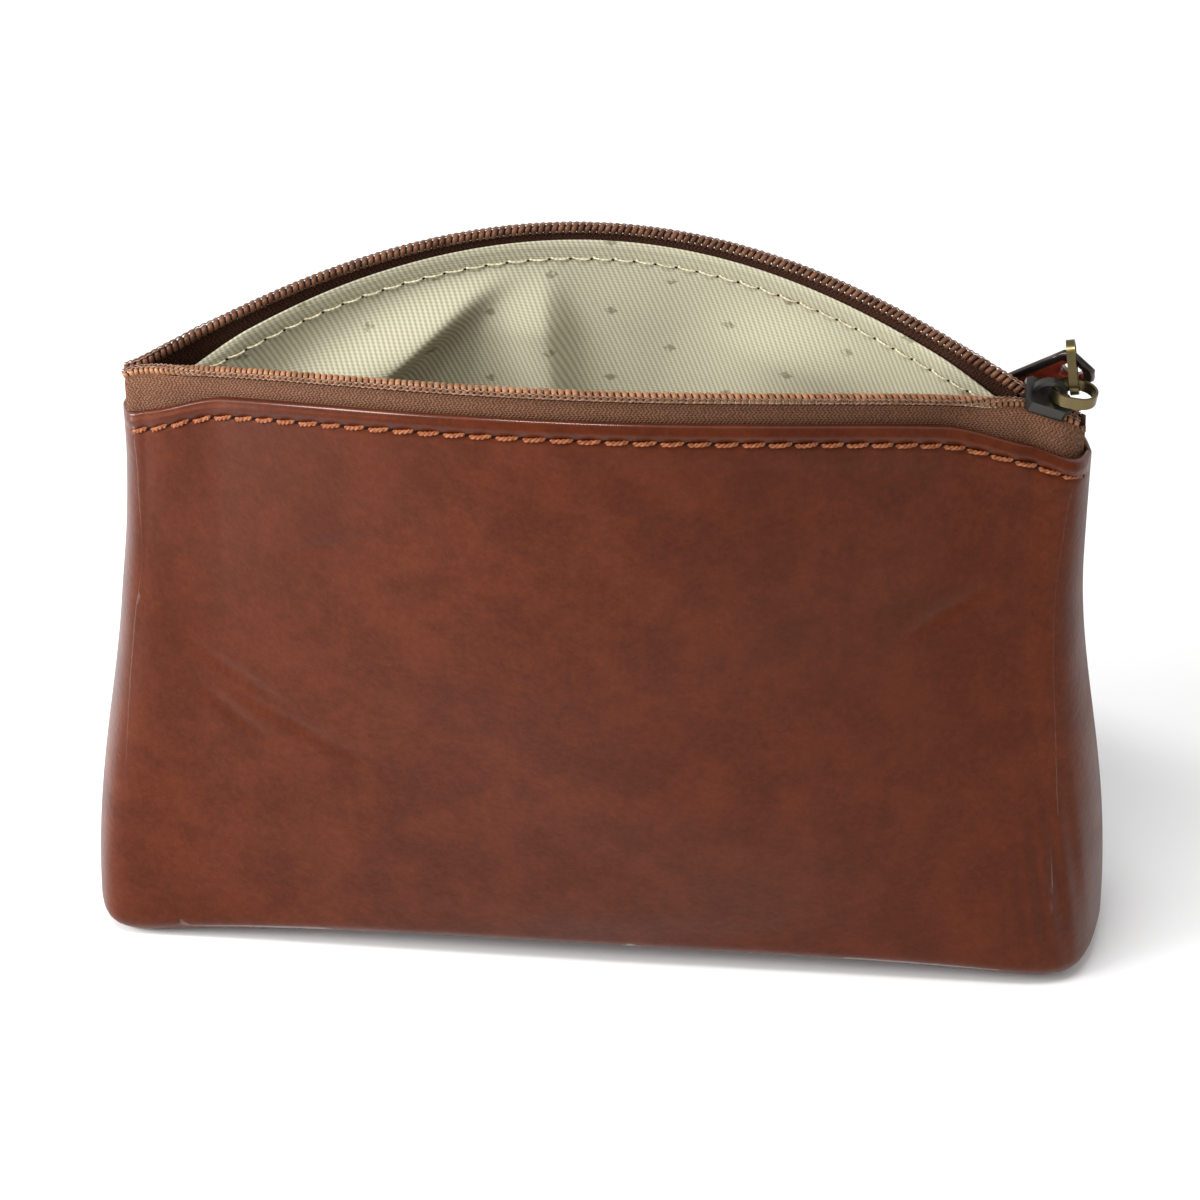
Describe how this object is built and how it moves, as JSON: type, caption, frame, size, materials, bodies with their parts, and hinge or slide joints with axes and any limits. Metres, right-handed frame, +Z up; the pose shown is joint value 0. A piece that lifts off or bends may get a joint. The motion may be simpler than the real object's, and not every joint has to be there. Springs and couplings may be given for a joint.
{
  "type": "zippered pouch",
  "caption": "Open leather pouch with a boxed base, a sewn cloth lining and an arched nylon zip whose slider carries two linked rings and a leather pull.",
  "frame": {"origin": "middle of the base, on the surface the pouch stands on", "axes": "+X along the zip towards the slider's rest end, -Y out of the front wall, +Z up"},
  "size_m": [0.1998, 0.0612, 0.1423],
  "materials": {
    "leather": "glossy pull-up leather, reddish brown",
    "lining_cloth": "matte ribbed twill with a small printed motif",
    "zip_tape": "matte woven herringbone",
    "nylon_coil": "copper brown nylon monofilament",
    "nylon_coil_dark": "dark brown nylon monofilament",
    "coil_cord": "twisted filler cord",
    "coil_thread": "chain stitch thread",
    "tan_thread": "bonded two-ply sewing thread",
    "cream_thread": "bonded two-ply sewing thread",
    "blackened_zinc": "blackened zinc casting, edges worn bright",
    "antique_brass": "antique brass, darkened, with bright worn edges",
    "pull_leather": "glossy dark red leather with black painted edges"
  },
  "bodies": {
    "pouch": {"front_panel": "leather", "back_panel": "leather", "front_lining": "lining_cloth", "back_lining": "lining_cloth", "front_tape": "zip_tape", "back_tape": "zip_tape", "front_coil": "nylon_coil", "back_coil": "nylon_coil_dark", "front_coil_cord": "coil_cord", "back_coil_cord": "coil_cord", "front_coil_thread": "coil_thread", "back_coil_thread": "coil_thread", "front_topstitch": "tan_thread", "back_topstitch": "tan_thread", "front_lining_stitch": "cream_thread", "back_lining_stitch": "cream_thread", "left_seam_thread": "tan_thread", "right_seam_thread": "tan_thread", "base_seam_thread": "tan_thread"},
    "slider": {"slider_body": "blackened_zinc"},
    "link": {"link_ring": "antique_brass"},
    "ring": {"pull_ring": "antique_brass"},
    "pull": {"pull_tab": "pull_leather"}
  },
  "joints": [
    {"name": "slider_travel", "type": "hinge", "parent": "pouch", "child": "slider", "pos_m": [0, 0, -0.07416], "axis": [0, -1, 0], "range_deg": [0, 44.4], "deforming": ["front_coil", "front_coil_cord", "front_coil_thread", "front_tape", "back_coil", "back_coil_cord", "back_coil_thread", "back_tape", "front_panel", "back_panel", "front_lining", "back_lining", "front_topstitch", "back_topstitch", "front_lining_stitch", "back_lining_stitch"]},
    {"name": "link_swing", "type": "hinge", "parent": "slider", "child": "link", "pos_m": [0.08292, 0, 0.12865], "axis": [0, -1, 0], "range_deg": [-3, 75]},
    {"name": "ring_swing", "type": "hinge", "parent": "link", "child": "ring", "pos_m": [0.08694, 0.00315, 0.12814], "axis": [0.992, 0, -0.126], "range_deg": [-14, 20]},
    {"name": "pull_swing", "type": "hinge", "parent": "ring", "child": "pull", "pos_m": [0.08671, 0.00658, 0.12945], "axis": [-0.1389, 0.5736, 0.8073], "range_deg": [-20, 11]}
  ]
}
